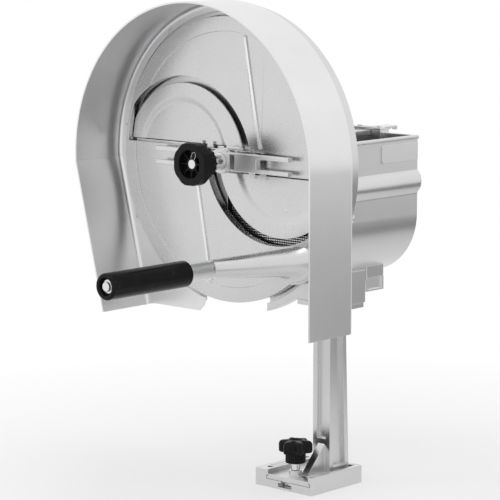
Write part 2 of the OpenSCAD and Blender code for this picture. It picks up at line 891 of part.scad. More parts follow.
module hood_screws() {
  color(steel)
  at_axis()
  for (a = hood_screw_angles)
    rotate([0, 0, a]) {
      rod(hood_screw_ring, 0, m3_r, floor_w0, back_w + sheet);
      rod(hood_screw_ring, 0, m3_r * head_share, floor_w0 - m3_head, floor_w0);
    }
}

module column_screws() {
  color(steel)
  for (x = column_screw_x)
    translate([x, flange_y, column_top]) {
      rod(0, 0, m5_r, -flange_t, flange_t);
      rod(0, 0, m5_r * head_share, -flange_t - head_h, -flange_t);
    }
}

module hopper() {
  color(cast)
  at_axis()
  difference() {
    union() {
      trough(wall, trough_top, hopper_w0, floor_w0);
      side_moulding();
      slab(trough_x1, trough_x1 + wall + lip_p, trough_top - lip_h, trough_top,
        hopper_w0, floor_w0 - bead_in);
      slab(bar_x - lug_w * half, bar_x + lug_w * half, lug_low, lug_top, hopper_w0, hopper_w0 + lug_d);
      slab(latch_x0, latch_x0 + latch_w, -latch_pad, -trough_low + trough_r1 * half,
        -latch_rear, -latch_rear + latch_l);
      for (p = hopper_screw_at)
        screw_ear(p);
    }
    difference() {
      trough(0, big, hopper_w0 + wall, floor_w0 + eps);
      slab(bar_x - lug_w * half, bar_x + lug_w * half, lug_low, lug_top, hopper_w0, hopper_w0 + lug_d);
    }
    slab(bar_x - bar_w * half - bar_play, bar_x + bar_w * half + bar_play, bar_z0 - bar_play, big,
      hopper_w0 - eps, hopper_w0 + lug_d + eps);
    for (p = hopper_screw_at)
      rod(p[0], p[1], m3_r + run, floor_w0 - ear_t - eps, floor_w0 + eps);
    for (x = keeper_screw_x)
      translate([x, lug_top, hopper_w0 + lug_d * half])
        rotate([90, 0, 0])
          rod(0, 0, m3_r + snug, -eps, keeper_screw_l + eps);
    for (z = latch_screw_w)
      translate([latch_x0 + latch_w * half, -latch_pad, z])
        rotate([-90, 0, 0])
          rod(0, 0, m3_r + snug, -eps, latch_screw_l + eps);
  }
}

// Four faced moulding along the hopper's side.
module side_moulding() {
  translate([trough_x1 + wall, -bead_z, hopper_w0])
    linear_extrude(height = floor_w0 - bead_in - hopper_w0)
      polygon([[-wall * half, -bead_h * half], [0, -bead_h * half],
        [bead_p * bead_low_share, bead_foot - bead_h * half], [bead_p, 0],
        [bead_p * bead_share, bead_h * half - bead_slope], [0, bead_h * half],
        [-wall * half, bead_h * half]]);
}

// Round ear with a web back to the hopper wall.
module screw_ear(p) {
  rod(p[0], p[1], ear_r, floor_w0 - ear_t, floor_w0);
  reach = ear_r + wall * half;
  if (p[0] > trough_x1)
    slab(p[0] - reach, p[0], p[1] - ear_r, p[1] + ear_r, floor_w0 - ear_t, floor_w0);
  else if (p[0] < trough_x0)
    slab(p[0], p[0] + reach, p[1] - ear_r, p[1] + ear_r, floor_w0 - ear_t, floor_w0);
  else
    slab(p[0] - ear_r, p[0] + ear_r, p[1], p[1] + reach + ear_r, floor_w0 - ear_t, floor_w0);
}

module hopper_screws() {
  color(steel)
  at_axis()
  for (p = hopper_screw_at) {
    rod(p[0], p[1], m3_r, floor_w0 - ear_t, floor_w1 - snug);
    rod(p[0], p[1], m3_r * head_share, floor_w0 - ear_t - m3_head, floor_w0 - ear_t);
  }
}

module name_plate() {
  color(steel)
  at_axis()
  translate([trough_x1 + wall, 0, -plate_w1])
    rotate([0, 90, 0])
      difference() {
        slab(0, plate_l, 0, plate_h - lip_h, 0, plate_t);
        for (c = [[0, 0, 0], [plate_l, 0, 90], [plate_l, plate_h - lip_h, 180],
            [0, plate_h - lip_h, 270]])
          translate([c[0], c[1], 0])
            rotate([0, 0, c[2]])
              difference() {
                slab(-plate_r, plate_r, -plate_r, plate_r, -eps, plate_t + eps);
                rod(plate_r, plate_r, plate_r, -big, big);
              }
      }
}

module latch_bracket() {
  color(steel)
  at_axis()
  difference() {
    slab(latch_x0, latch_x0 + latch_w, -latch_pad - latch_h, -latch_pad, -latch_rear,
      -latch_rear + latch_l);
    // hollow behind the panel, open on the left
    slab(latch_x0 - eps, latch_x0 + latch_w - latch_inset - latch_t, -latch_pad - latch_h + latch_t,
      -latch_pad - latch_t, -latch_rear + latch_t, -latch_rear + latch_l - latch_t);
    slab(latch_x0 + latch_w - latch_inset, big, -latch_pad - latch_h + latch_t,
      -latch_pad, -latch_rear + latch_t, -latch_rear + latch_l - latch_t);
    for (z = latch_screw_w)
      translate([latch_x0 + latch_w * half, -latch_pad, z])
        rotate([90, 0, 0])
          rod(0, 0, m3_r + run, -eps, latch_t + eps);
  }
}

module latch_screws() {
  color(steel)
  at_axis()
  for (z = latch_screw_w)
    translate([latch_x0 + latch_w * half, -latch_pad, z])
      rotate([90, 0, 0]) {
        rod(0, 0, m3_r, -latch_screw_l + latch_t, latch_t);
        rod(0, 0, m3_r * head_share, latch_t, latch_t + m3_head);
      }
}

// shaft group
module bush(z0) {
  color(brass)
  at_axis()
  difference() {
    rod(0, 0, bush_r - snug, z0, z0 + bush_l);
    rod(0, 0, shaft_r + run, z0 - eps, z0 + bush_l + eps);
  }
}

module bush_front() {
  bush(disc_w0 - shaft_flange_t - thrust - thrust - bush_l);
}

module bush_rear() {
  bush(-boss_l);
}

module main_shaft() {
  color(steel)
  at_axis()
  difference() {
    union() {
      rod(0, 0, shaft_r, -boss_l - thrust, disc_w0 - shaft_flange_t + eps);
      rod(0, 0, shaft_end_r, -boss_l - thrust - shaft_end_l, -boss_l);
      rod(0, 0, shaft_flange_r, disc_w0 - shaft_flange_t, disc_w0);
      rod(0, 0, spigot_r, disc_w0 - eps, disc_w1);
      rod(0, 0, thread_r, disc_w1 - eps, knob_front - cup_d + cup_rib_h);
    }
    for (i = [0:flange_screws - 1])
      rotate([0, 0, (i + flange_share) * turn / flange_screws])
        rod(flange_pcd_r, 0, m3_r + run, -big, disc_w0 + eps);
  }
}

module shaft_screws() {
  color(steel)
  at_axis()
  for (i = [0:flange_screws - 1])
    rotate([0, 0, (i + flange_share) * turn / flange_screws])
      rod(flange_pcd_r, 0, m3_r, disc_w0 - shaft_flange_t, disc_w0 + flange_screw_l);
}

module shaft_washer() {
  color(steel)
  at_axis()
  difference() {
    rod(0, 0, washer_r, -boss_l - thrust - washer_t, -boss_l - thrust);
    rod(0, 0, shaft_end_r + snug, -big, big);
  }
}

module shaft_nut() {
  color(steel)
  at_axis()
  difference() {
    translate([0, 0, -boss_l - thrust - washer_t - nut_t])
      cylinder(r = nut_r, h = nut_t, $fn = 6);
    rod(0, 0, shaft_end_r + snug, -big, big);
  }
}

// cutter disc
// Half moon above the axis, with its arc and its outer end shrunk and its edge raised.
module half_moon(shrink, end_gap, edge, z0, z1, shift = 0, rise = 0) {
  intersection() {
    rod(-pocket_x - shift, rise - pocket_z, pocket_r - shrink, z0, z1);
    rod(0, 0, pocket_lim - end_gap, z0, z1);
    slab(-big, big, edge, big, z0, z1);
  }
}

module horn() {
  run_x = handle_x - horn_x;
  run_y = horn_z - handle_z;
  run_w = horn_end - knuckle_l - disc_w1;
  long = norm([run_x, run_y, run_w]);
  slope = (horn_r0 - horn_r1 + snug) / long;
  intersection() {
    translate([horn_x, -horn_z, disc_w1])
      rotate([0, acos(run_w / long), atan2(run_y, run_x)])
        translate([0, 0, -horn_back])
          cylinder(r1 = horn_r0 + slope * horn_back, r2 = horn_r1 - snug, h = long + horn_back);
    rod(0, 0, disc_r, 0, horn_end);
  }
  translate([handle_x, -handle_z, horn_end - knuckle_l])
    sphere(r = horn_r1);
  rod(handle_x, -handle_z, horn_r1, horn_end - knuckle_l, horn_end);
}

module cutter_disc() {
  color(cast)
  at_axis()
  difference() {
    union() {
      difference() {
        rod(0, 0, disc_r, disc_w0, disc_w1);
        difference() {
          rod(0, 0, rim_r, disc_w1 - rim_h, disc_w1 + eps);
          rod(0, 0, hub_r, -big, big);
        }
      }
      both_sides()
        translate([ridge_x, ridge_z, 0])
          rotate([0, 0, -ridge_lean])
            slab(0, ridge_l, -ridge_w * half, ridge_w * half, 0, disc_w1);
      horn();
    }
    both_sides()
      half_moon(0, 0, pocket_edge, disc_w0 - eps, disc_w1 + eps);
    // slots for the gauge plates' ears
    both_sides()
      for (x = ear_xs)
        slab(-x - ear_slot * half, -x + ear_slot * half, -ear_end - ear_play, pocket_edge + eps,
          disc_w0 - eps, disc_w1 + eps);
    // knife seats
    both_sides()
      slab(-knife_x1, -knife_x0, pocket_edge + knife_over - knife_w, big,
        disc_w0 - eps, disc_w0 + knife_t);
    both_sides()
      for (x = knife_screw_x)
        rod(-x, pocket_edge + knife_over - knife_w + knife_in, m3_r + snug, disc_w0,
          disc_w1 - rim_h - m3_r + snug);
    rod(0, 0, spigot_r + snug, disc_w0 - eps, disc_w1 + eps);
    for (i = [0:flange_screws - 1])
      rotate([0, 0, (i + flange_share) * turn / flange_screws])
        rod(flange_pcd_r, 0, m3_r + snug, disc_w0 - eps, disc_w0 + flange_screw_l + snug);
    rod(handle_x, -handle_z, spindle_r + snug, horn_end - spindle_in, horn_end + eps);
  }
}

module knife() {
  difference() {
    intersection() {
      slab(-knife_x1, -knife_x0, pocket_edge + knife_over - knife_w + snug, pocket_edge + knife_over,
        disc_w0, disc_w0 + knife_t - snug);
      rod(0, 0, pocket_lim, disc_w0, 0);
    }
    // ground cutting edge
    translate([0, pocket_edge + knife_over, disc_w0])
      rotate([grind_a, 0, 0])
        slab(-big, big, -eps, big, -big, big);
    for (x = knife_screw_x)
      rod(-x, pocket_edge + knife_over - knife_w + knife_in, m3_r + run, -big, big);
  }
}

module knife_upper() {
  color(steel)
  at_axis()
  knife();
}

module knife_lower() {
  color(steel)
  at_axis()
  rotate([0, 0, 180])
    knife();
}

module knife_screws() {
  color(dark)
  at_axis()
  both_sides()
    for (x = knife_screw_x)
      rod(-x, pocket_edge + knife_over - knife_w + knife_in, m3_r, disc_w0, disc_w1 - rim_h - m3_r);
}

module gauge_plate() {
  difference() {
    union() {
      intersection() {
        half_moon(gauge_gap, gauge_end, gauge_edge, -big, big, gauge_shift, gauge_rise);
        translate([-bevel_x, -bevel_z, gauge_w1])
          rotate_extrude()
            polygon([[0, -gauge_dish - gauge_t], [bevel_r0, -gauge_dish - gauge_t],
              [bevel_r1, -gauge_t], [big, -gauge_t], [big, 0], [bevel_r1, 0],
              [bevel_r0, -gauge_dish], [0, -gauge_dish]]);
      }
      for (x = ear_xs) {
        slab(-x - ear_w * half, -x + ear_w * half, gauge_edge, gauge_edge + ear_step,
          gauge_w1 - gauge_dish - gauge_t, ear_w1);
        slab(-x - ear_w * half, -x + ear_w * half, -ear_end, gauge_edge + eps, ear_w0, ear_w1);
      }
    }
    for (x = ear_xs)
      rod(-x, -ear_z, m3_r + run, -big, big);
  }
}

module gauge_plate_upper() {
  color(cast)
  at_axis()
  gauge_plate();
}

module gauge_plate_lower() {
  color(cast)
  at_axis()
  rotate([0, 0, 180])
    gauge_plate();
}

module gauge_screws() {
  color(dark)
  at_axis()
  both_sides()
    for (x = ear_xs) {
      rod(-x, -ear_z, m3_r, ear_w0, ear_w1 + post_screw_l);
      rod(-x, -ear_z, m3_r * head_share, ear_w0 - m3_head, ear_w0);
    }
}

// adjusting arm and knob
module adjusting_arm() {
  color(cast)
  at_axis()
  difference() {
    union() {
      rod(0, 0, arm_hub_r, arm_w, arm_w + arm_t);
      slab(-fork_x, fork_x, -arm_h * half, arm_h * half, arm_w, arm_w + arm_t);
      both_sides() {
        slab(-arm_l, -fork_x + eps, arm_h * half - prong, arm_h * half, arm_w, arm_w + arm_t);
        slab(-arm_l, -fork_x + eps, -arm_h * half, -arm_h * half + prong, arm_w, arm_w + arm_t);
        for (x = ear_xs)
          rod(-x, -ear_z, post_r, ear_w1, arm_w + arm_t);
      }
    }
    both_sides()
      slab(-window_x, -arm_hub_r, -window_h, window_h, arm_w - eps, arm_w + arm_t + eps);
    rod(0, 0, sleeve_r + snug, arm_w - eps, arm_w + arm_t + eps);
    both_sides()
      for (x = ear_xs)
        rod(-x, -ear_z, m3_r + snug, ear_w1 - eps, ear_w1 + post_screw_l + snug);
  }
}

module hub_sleeve() {
  color(steel)
  at_axis()
  difference() {
    union() {
      rod(0, 0, sleeve_r, arm_w, knob_w0 + sleeve_collar_t);
      rod(0, 0, sleeve_collar_r, knob_w0 + bar_play, knob_w0 + bar_play + sleeve_collar_t);
    }
    rod(0, 0, thread_r + run, -big, big);
  }
}

module adjusting_knob() {
  color(black)
  at_axis()
  difference() {
    union() {
      rod(0, 0, knob_body_r, knob_w0, knob_front - knob_head_t + eps);
      for (i = [0:grooves - 1])
        rotate([0, 0, i * turn / grooves])
          rod(knob_body_r, 0, groove_r, knob_w0, knob_front - knob_head_t + eps);
      difference() {
        translate([0, 0, knob_front - knob_head_t])
          rotate([0, 0, turn / octagon * half])
            cylinder(r = knob_r / cos(turn / octagon * half), h = knob_head_t, $fn = octagon);
        ring(big, knob_r + knob_round, -big, big);
        rod(0, 0, cup_r, knob_front - cup_d, big);
      }
      rod(0, 0, cup_core_r, knob_front - cup_d - eps, knob_front - cup_d + cup_rib_h);
      for (i = [0:cup_ribs - 1])
        rotate([0, 0, i * turn / cup_ribs])
          slab(cup_core_r - cup_rib_t, cup_r + cup_rib_t * half, -cup_rib_t * half, cup_rib_t * half,
            knob_front - cup_d - eps, knob_front - cup_d + cup_rib_h);
    }
    rod(0, 0, thread_r + run, -big, big);
    rod(0, 0, sleeve_collar_r + bar_play, -big, knob_w0 + sleeve_collar_t + bar_play + bar_play);
  }
}

module knob_retainer() {
  color(steel)
  at_axis()
  ring(retainer_r, sleeve_r + bar_play, knob_w0 - retainer_t, knob_w0);
}

// crank handle
module at_handle() {
  at_axis()
    translate([handle_x, -handle_z, 0])
      children();
}

module handle_spindle() {
  color(steel)
  at_handle()
  difference() {
    rod(0, 0, spindle_r, horn_end - spindle_in, grip_w1 - grip_cup_d + thrust);
    rod(0, 0, m5_r, grip_w1 - grip_cup_d - grip_screw_l - snug, big);
  }
}

module ferrule() {
  color(steel)
  at_handle()
  ring(ferrule_r, spindle_r + snug, horn_end, grip_w0 - thrust);
}

module grip() {
  color(black)
  at_handle()
  difference() {
    union() {
      rod(0, 0, grip_r, grip_w0 + grip_edge, grip_w1 - grip_edge);
      translate([0, 0, grip_w0])
        cylinder(r1 = grip_r - grip_edge, r2 = grip_r, h = grip_edge);
      translate([0, 0, grip_w1 - grip_edge])
        cylinder(r1 = grip_r, r2 = grip_r - grip_edge, h = grip_edge);
    }
    rod(0, 0, spindle_r + run, -big, big);
    rod(0, 0, grip_cup_r, grip_w1 - grip_cup_d, big);
  }
}

module grip_screw() {
  color(steel)
  at_handle()
  union() {
    rod(0, 0, grip_washer_r, grip_head_w, grip_head_w + grip_washer_t);
    rod(0, 0, grip_screw_r, grip_head_w, grip_head_w + grip_washer_t + head_h);
    rod(0, 0, m5_r - snug, grip_w1 - grip_cup_d - grip_screw_l, grip_head_w + eps);
  }
}

// pusher
module pusher_plate() {
  color(black)
  at_axis()
  difference() {
    trough(-push_gap, lug_top, pusher_w1 - push_t, pusher_w1);
    for (x = [bar_x - bar_w * quarter_share, bar_x + bar_w * quarter_share])
      rod(x, (bar_z0 + bar_z1) * half, m3_r + run, -big, big);
  }
}

module pusher_bar() {
  color(steel)
  at_axis()
  difference() {
    slab(bar_x - bar_w * half, bar_x + bar_w * half, bar_z0, bar_z1, push_block_w1, pusher_w1 - push_t);
    for (x = [bar_x - bar_w * quarter_share, bar_x + bar_w * quarter_share])
      rod(x, (bar_z0 + bar_z1) * half, m3_r + snug, pusher_w1 - push_t - push_screw_l - snug, big);
    rod(bar_x, (bar_z0 + bar_z1) * half, m3_r + snug, -big, push_block_w1 + push_screw_l + snug);
  }
}

module pusher_handle() {
  color(steel)
  at_axis()
  difference() {
    union() {
      slab(bar_x - push_block_w * half, bar_x + push_block_w * half, bar_z1 - push_block_h, bar_z1,
        push_block_w1 - push_block_l, push_block_w1);
      slab(bar_x - finger_w * half, bar_x + finger_w * half, bar_z1, bar_z1 + finger_t,
        push_block_w1 - finger_l, push_block_w1);
      slab(bar_x - finger_w * half, bar_x + finger_w * half, bar_z1 + finger_t - finger_drop,
        bar_z1 + finger_t, push_block_w1 - finger_l, push_block_w1 - finger_l + finger_t);
    }
    rod(bar_x, (bar_z0 + bar_z1) * half, m3_r + run, -big, big);
  }
}

module pusher_keeper() {
  color(steel)
  at_axis()
  difference() {
    slab(bar_x - lug_w * half, bar_x + lug_w * half, lug_top, lug_top + keeper_t, hopper_w0,
      hopper_w0 + lug_d);
    for (x = keeper_screw_x)
      translate([x, lug_top, hopper_w0 + lug_d * half])
        rotate([-90, 0, 0])
          rod(0, 0, m3_r + run, -eps, keeper_t + eps);
  }
}

module pusher_screws() {
  color(steel)
  at_axis()
  union() {
    for (x = [bar_x - bar_w * quarter_share, bar_x + bar_w * quarter_share])
      rod(x, (bar_z0 + bar_z1) * half, m3_r, pusher_w1 - push_t - push_screw_l, pusher_w1);
    rod(bar_x, (bar_z0 + bar_z1) * half, m3_r, push_block_w1 - push_block_l,
      push_block_w1 + push_screw_l);
    rod(bar_x, (bar_z0 + bar_z1) * half, m3_r * head_share, push_block_w1 - push_block_l - m3_head,
      push_block_w1 - push_block_l);
  }
}

module keeper_screws() {
  color(steel)
  at_axis()
  for (x = keeper_screw_x)
    translate([x, lug_top + keeper_t, hopper_w0 + lug_d * half])
      rotate([90, 0, 0]) {
        rod(0, 0, m3_r, 0, keeper_t + keeper_screw_l);
        rod(0, 0, m3_r * head_share, -m3_head, 0);
      }
}

base_bracket();
column();
t_nut();
clamp_stud();
clamp_knob();
housing();
column_screws();
hood();
hood_screws();
hopper();
hopper_screws();
name_plate();
latch_bracket();
latch_screws();
bush_front();
bush_rear();
main_shaft();
shaft_screws();
shaft_washer();
shaft_nut();
cutter_disc();
knife_upper();
knife_lower();
knife_screws();
gauge_plate_upper();
gauge_plate_lower();
gauge_screws();
adjusting_arm();
hub_sleeve();
adjusting_knob();
knob_retainer();
handle_spindle();
ferrule();
grip();
grip_screw();
pusher_plate();
pusher_bar();
pusher_handle();
pusher_keeper();
pusher_screws();
keeper_screws();
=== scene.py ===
"""Looks of a hand cranked rotary vegetable slicer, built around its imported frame.

Lengths are metres in the frame's own axes: +Z up, the crank side faces -Y, the hopper +Y.
Places near the disc are given as x across, y up and w out toward the crank side, in
millimetres from the disc's axis, and at_axis() turns them into the frame.
"""
import json
import math

import bmesh
import bpy
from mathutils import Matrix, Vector


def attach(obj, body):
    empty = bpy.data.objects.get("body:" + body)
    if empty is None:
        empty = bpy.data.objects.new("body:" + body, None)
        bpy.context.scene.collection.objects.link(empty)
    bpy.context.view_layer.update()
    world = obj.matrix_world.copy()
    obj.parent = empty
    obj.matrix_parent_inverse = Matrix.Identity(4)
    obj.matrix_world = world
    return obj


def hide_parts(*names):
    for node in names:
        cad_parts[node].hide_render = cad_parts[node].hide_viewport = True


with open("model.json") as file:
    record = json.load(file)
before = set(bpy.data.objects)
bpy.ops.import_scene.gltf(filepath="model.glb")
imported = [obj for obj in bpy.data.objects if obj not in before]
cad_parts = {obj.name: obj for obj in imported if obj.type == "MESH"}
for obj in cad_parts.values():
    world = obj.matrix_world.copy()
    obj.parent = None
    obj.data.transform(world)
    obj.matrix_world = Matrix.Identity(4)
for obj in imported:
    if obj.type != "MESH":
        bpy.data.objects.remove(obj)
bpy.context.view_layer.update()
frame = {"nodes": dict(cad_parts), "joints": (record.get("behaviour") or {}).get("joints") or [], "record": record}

MM = 0.001
JOINTS = {joint["name"]: joint for joint in frame["joints"]}
AXIS = Vector(JOINTS["disc_spin"]["pos_m"])
SLOT_OF = {row["node"]: row["material_slot"] for row in frame["record"]["subparts"]}


def at_axis(x, y, w):
    """A place near the disc, in millimetres from its axis, as a point of the frame."""
    return Vector((AXIS.x + x * MM, AXIS.y - w * MM, AXIS.z + y * MM))


# Camera, at the photograph's viewing angle
CAMERA_PLACE = Vector((1.6177, -1.8708, 0.6261))
CAMERA_TURN = math.radians(42.328)
CAMERA_TILT = math.radians(8.508)
CAMERA_LENS = 168.11
SENSOR = 36.0


def add_camera():
    """Camera fitted to the photograph's edges and corners."""
    data = bpy.data.cameras.new("camera")
    data.lens = CAMERA_LENS
    data.sensor_width = SENSOR
    data.clip_end = 20.0
    camera = bpy.data.objects.new("camera", data)
    camera.location = CAMERA_PLACE
    camera.rotation_euler = (math.pi / 2 - CAMERA_TILT, 0.0, CAMERA_TURN)
    bpy.context.scene.collection.objects.link(camera)
    bpy.context.scene.camera = camera


# Materials
class Nodes:
    """Short calls for a material's node tree."""

    def __init__(self, name):
        self.material = bpy.data.materials.new(name)
        self.material.use_nodes = True
        self.tree = self.material.node_tree
        self.tree.nodes.clear()
        self.output = self.tree.nodes.new("ShaderNodeOutputMaterial")
        self.shader = self.tree.nodes.new("ShaderNodeBsdfPrincipled")
        self.tree.links.new(self.shader.outputs["BSDF"], self.output.inputs["Surface"])

    def add(self, kind, inputs=None, **settings):
        node = self.tree.nodes.new(kind)
        for key, value in settings.items():
            setattr(node, key, value)
        for key, value in (inputs or {}).items():
            self.put(node.inputs[key], value)
        return node

    def put(self, socket, value):
        if isinstance(value, bpy.types.NodeSocket):
            self.tree.links.new(value, socket)
        else:
            socket.default_value = value

    def place(self, stretch=(1.0, 1.0, 1.0), origin=(0.0, 0.0, 0.0)):
        """Object coordinates in metres, moved to an origin and stretched."""
        coords = self.add("ShaderNodeTexCoord").outputs["Object"]
        moved = self.add("ShaderNodeVectorMath", {0: coords, 1: origin}, operation="SUBTRACT")
        scaled = self.add("ShaderNodeVectorMath", {0: moved.outputs[0], 1: stretch},
                          operation="MULTIPLY")
        return scaled.outputs[0]

    def noise(self, vector, scale, detail=3.0, roughness=0.5):
        node = self.add("ShaderNodeTexNoise", {
            "Vector": vector, "Scale": scale, "Detail": detail, "Roughness": roughness})
        return node.outputs["Fac"]

    def spread(self, value, low, high, start=0.3, end=0.7):
        """A texture's value mapped onto a range."""
        node = self.add("ShaderNodeMapRange", {
            "Value": value, "From Min": start, "From Max": end, "To Min": low, "To Max": high})
        return node.outputs["Result"]

    def blend(self, value, dark, light):
        node = self.add("ShaderNodeMix", data_type="RGBA")
        self.put(node.inputs["Factor"], value)
        node.inputs[6].default_value = (*dark, 1.0)
        node.inputs[7].default_value = (*light, 1.0)
        return node.outputs[2]

    def bump(self, height, depth, under=None):
        inputs = {"Height": height, "Distance": depth, "Strength": 1.0}
        if under is not None:
            inputs["Normal"] = under
        return self.add("ShaderNodeBump", inputs).outputs["Normal"]


def shade(colour, share):
    """A colour times a share of its brightness."""
    return tuple(channel * share for channel in colour)


MOTTLE = 0.03
MOTTLE_SCALE = 28.0
GLOSS_GRAIN = 0.3
GLOSS_VARIES = 0.03


def metal(name, colour, rough, grain, depth, stretch=(1.0, 1.0, 1.0), rings=None):
    """Bare metal: fine grain or brushing, faint mottling, uneven gloss, turning rings."""
    n = Nodes(name)
    place = n.place(stretch)
    fine = n.noise(place, grain, 2.0)
    broad = n.noise(n.place(), MOTTLE_SCALE, 4.0, 0.6)
    n.put(n.shader.inputs["Base Color"],
          n.blend(n.spread(broad, 0.0, 1.0), shade(colour, 1.0 - MOTTLE), colour))
    n.shader.inputs["Metallic"].default_value = 1.0
    gloss = n.noise(place, grain * GLOSS_GRAIN)
    n.put(n.shader.inputs["Roughness"],
          n.spread(gloss, rough * (1.0 - GLOSS_VARIES), rough * (1.0 + GLOSS_VARIES)))
    normal = n.bump(n.spread(fine, 0.0, 1.0), depth)
    if rings:
        wave = n.add("ShaderNodeTexWave", {
            "Vector": n.place(origin=rings["centre"]), "Scale": rings["scale"],
            "Distortion": 0.6, "Detail": 1.0, "Detail Scale": 2.0},
            wave_type="RINGS", rings_direction="Y")
        normal = n.bump(wave.outputs["Fac"], rings["depth"], normal)
    n.put(n.shader.inputs["Normal"], normal)
    return n.material


PLASTIC_GLOSS = 0.12
PLASTIC_WEAR_SCALE = 60.0
PLASTIC_WEAR_SHADE = 1.5


def plastic(name, colour, rough, grain, depth):
    """Moulded black plastic with a fine leathery skin."""
    n = Nodes(name)
    skin = n.noise(n.place(), grain, 3.0)
    wear = n.noise(n.place(), PLASTIC_WEAR_SCALE, 4.0, 0.6)
    n.put(n.shader.inputs["Base Color"],
          n.blend(n.spread(wear, 0.0, 1.0), colour, shade(colour, PLASTIC_WEAR_SHADE)))
    n.put(n.shader.inputs["Roughness"], n.spread(wear, rough * 0.85, rough * 1.2))
    n.put(n.shader.inputs["Normal"], n.bump(n.spread(skin, 0.0, 1.0), depth))
    n.shader.inputs["Specular IOR Level"].default_value = PLASTIC_GLOSS
    return n.material


ALUMINIUM = (0.70, 0.70, 0.705)
POLISHED = (0.66, 0.66, 0.665)
SHEET = (0.80, 0.80, 0.805)
STEEL = (0.78, 0.78, 0.785)
# Near-white metal colour, used only to paint a highlight on the disc's ridge lines.
PAINTED_HIGHLIGHT_GREY = (0.95, 0.95, 0.95)
BRONZE = (0.50, 0.34, 0.14)
BLACK = (0.008, 0.008, 0.0085)

FINISH = {
    "cast": metal("satin_cast", ALUMINIUM, 0.30, 2600.0, 0.0000004),
    "polished": metal("polished_cast", POLISHED, 0.27, 2200.0, 0.0000002,
                      rings={"centre": AXIS, "scale": 420.0, "depth": 0.0000002}),
    "sheet": metal("brushed_sheet", SHEET, 0.30, 1400.0, 0.0000001, stretch=(1.0, 0.2, 1.0)),
    "steel": metal("turned_steel", STEEL, 0.22, 2400.0, 0.0000005),
    "blade": metal("ground_blade", STEEL, 0.18, 1500.0, 0.000008, stretch=(0.05, 1.0, 1.0)),
    "bronze": metal("turned_bronze", BRONZE, 0.28, 2000.0, 0.00001),
    "satin_steel": metal("satin_steel", STEEL, 0.42, 2400.0, 0.0000005),
    # A paler, rougher copy of the disc's polished metal for the ridges: a painted highlight.
    "painted_highlight_metal": metal("painted_highlight_metal", PAINTED_HIGHLIGHT_GREY, 0.45, 2400.0, 0.0000005),
    "black": plastic("moulded_black", BLACK, 0.30, 1800.0, 0.00001),
    "grip_black": plastic("grip_black", BLACK, 0.24, 1500.0, 0.000006),
}


# Rounded copies of the CAD nodes
def new_piece(name, mesh, body, slot, replaces=(), finish=None):
    """Adds a mesh that rides a body, with the material of its finish, or of its slot when no finish is given."""
    piece = bpy.data.objects.new(name, mesh)
    bpy.context.scene.collection.objects.link(piece)
    mesh.materials.clear()
    mesh.materials.append(FINISH[finish or slot])
    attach(piece, body)
    if replaces:
        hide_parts(*replaces)
    return piece


def baked(mesh, modifiers, name):
    """The mesh with modifiers applied: a list of (type, settings)."""
    holder = bpy.data.objects.new("holder", mesh)
    bpy.context.scene.collection.objects.link(holder)
    for kind, settings in modifiers:
        modifier = holder.modifiers.new(kind.lower(), kind)
        for key, value in settings.items():
            setattr(modifier, key, value)
    graph = bpy.context.evaluated_depsgraph_get()
    result = bpy.data.meshes.new_from_object(holder.evaluated_get(graph))
    result.name = name
    bpy.data.objects.remove(holder)
    return result


def smooth_by_angle(mesh, degrees):
    """Smooth shading, with edges over an angle kept sharp."""
    mesh.shade_smooth()
    mesh.set_sharp_from_angle(angle=math.radians(degrees))


# Angles in degrees
ROUND_FROM = 32.0
SHARP_FROM = 32.0
FLAT_WITHIN = 0.4
# Metres between vertices that become one
WELD = 2e-6
FLAT_WEIGHT = 60
SHARP = {"gauge_plate_upper": 9.0, "gauge_plate_lower": 9.0, "cutter_disc": 14.0,
         "column": 12.0, "housing": 16.0, "hood": 24.0}
MERGE_FLATS = ("cutter_disc",)
FINISH_OF = {"adjusting_arm": "satin_steel", "ferrule": "satin_steel", "name_plate": "satin_steel"}


def dress(node, body, round_mm):
    """Stands a copy with rounded edges in for a CAD node."""
    bm = bmesh.new()
    bm.from_mesh(frame["nodes"][node].data)
    bmesh.ops.remove_doubles(bm, verts=bm.verts, dist=WELD)
    if node in MERGE_FLATS:
        bmesh.ops.dissolve_limit(bm, angle_limit=math.radians(FLAT_WITHIN), verts=bm.verts, edges=bm.edges,
                                 use_dissolve_boundaries=False)
    bmesh.ops.recalc_face_normals(bm, faces=bm.faces)
    mesh = bpy.data.meshes.new(node + "_skin")
    bm.to_mesh(mesh)
    bm.free()
    if round_mm:
        mesh = baked(mesh, [("BEVEL", {
            "width": round_mm * MM, "segments": 3, "limit_method": "ANGLE",
            "angle_limit": math.radians(ROUND_FROM), "use_clamp_overlap": False,
            "miter_outer": "MITER_ARC"})], node + "_skin")
    smooth_by_angle(mesh, SHARP.get(node, SHARP_FROM))
    mesh = baked(mesh, [("WEIGHTED_NORMAL", {"keep_sharp": True, "weight": FLAT_WEIGHT})], node + "_skin")
    return new_piece(node + "_skin", mesh, body, SLOT_OF[node], (node,), FINISH_OF.get(node))


BODY_OF = {}
for body_name, members in frame["record"]["behaviour"]["bodies"].items():
    for member in members:
        BODY_OF[member] = body_name

